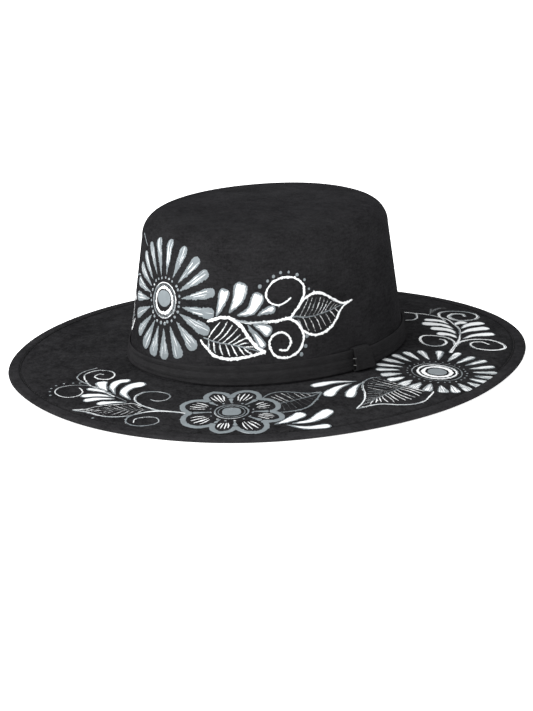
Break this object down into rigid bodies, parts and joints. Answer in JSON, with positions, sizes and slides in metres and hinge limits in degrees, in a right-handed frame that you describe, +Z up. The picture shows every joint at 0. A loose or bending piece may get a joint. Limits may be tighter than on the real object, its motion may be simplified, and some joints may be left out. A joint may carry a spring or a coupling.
{
  "type": "sombrero",
  "caption": "Flat-crowned, wide-brimmed suede dress hat with a stiffened crown and brim, wired folded hem, suede band with keeper loop, satin lining and leather sweatband.",
  "frame": {"origin": "centre of the footprint, on the plane the brim's edge rests on", "axes": "+Z up through the crown, -Y the way the wearer faces, +X to the wearer's left, so Y is the longest extent and Z the shortest"},
  "size_m": [0.3412, 0.3752, 0.1113],
  "materials": {
    "suede": "black brushed micro-suede with a short nap",
    "band_suede": "black brushed micro-suede strip",
    "stiffened_board": "matt, sized and pressed",
    "lining_satin": "black satin",
    "sweatband_leather": "dark brown, semi-matt",
    "black_thread": "twisted polyester",
    "pale_thread": "twisted polyester",
    "wire_steel": "drawn spring wire",
    "ferrule_aluminium": "crimped sleeve",
    "acrylic_paint": "grey and white brushed acrylic, the hand-painted decoration on the suede"
  },
  "bodies": {
    "root": {"crown_cover": "suede", "crown_stiffener": "stiffened_board", "crown_lining_side": "lining_satin", "crown_lining_tip": "lining_satin", "crown_seam_thread": "black_thread", "brim_cover_top": "suede", "brim_cover_under": "suede", "brim_core": "stiffened_board", "brim_hem": "suede", "brim_wire": "wire_steel", "wire_ferrule": "ferrule_aluminium", "hem_thread_upper": "black_thread", "hem_thread_under": "black_thread", "sweatband": "sweatband_leather", "sweatband_thread": "black_thread", "sweatband_join_thread": "black_thread", "hat_band": "band_suede", "band_keeper": "band_suede", "keeper_tack_upper": "pale_thread", "keeper_tack_lower": "pale_thread"}
  },
  "joints": []
}
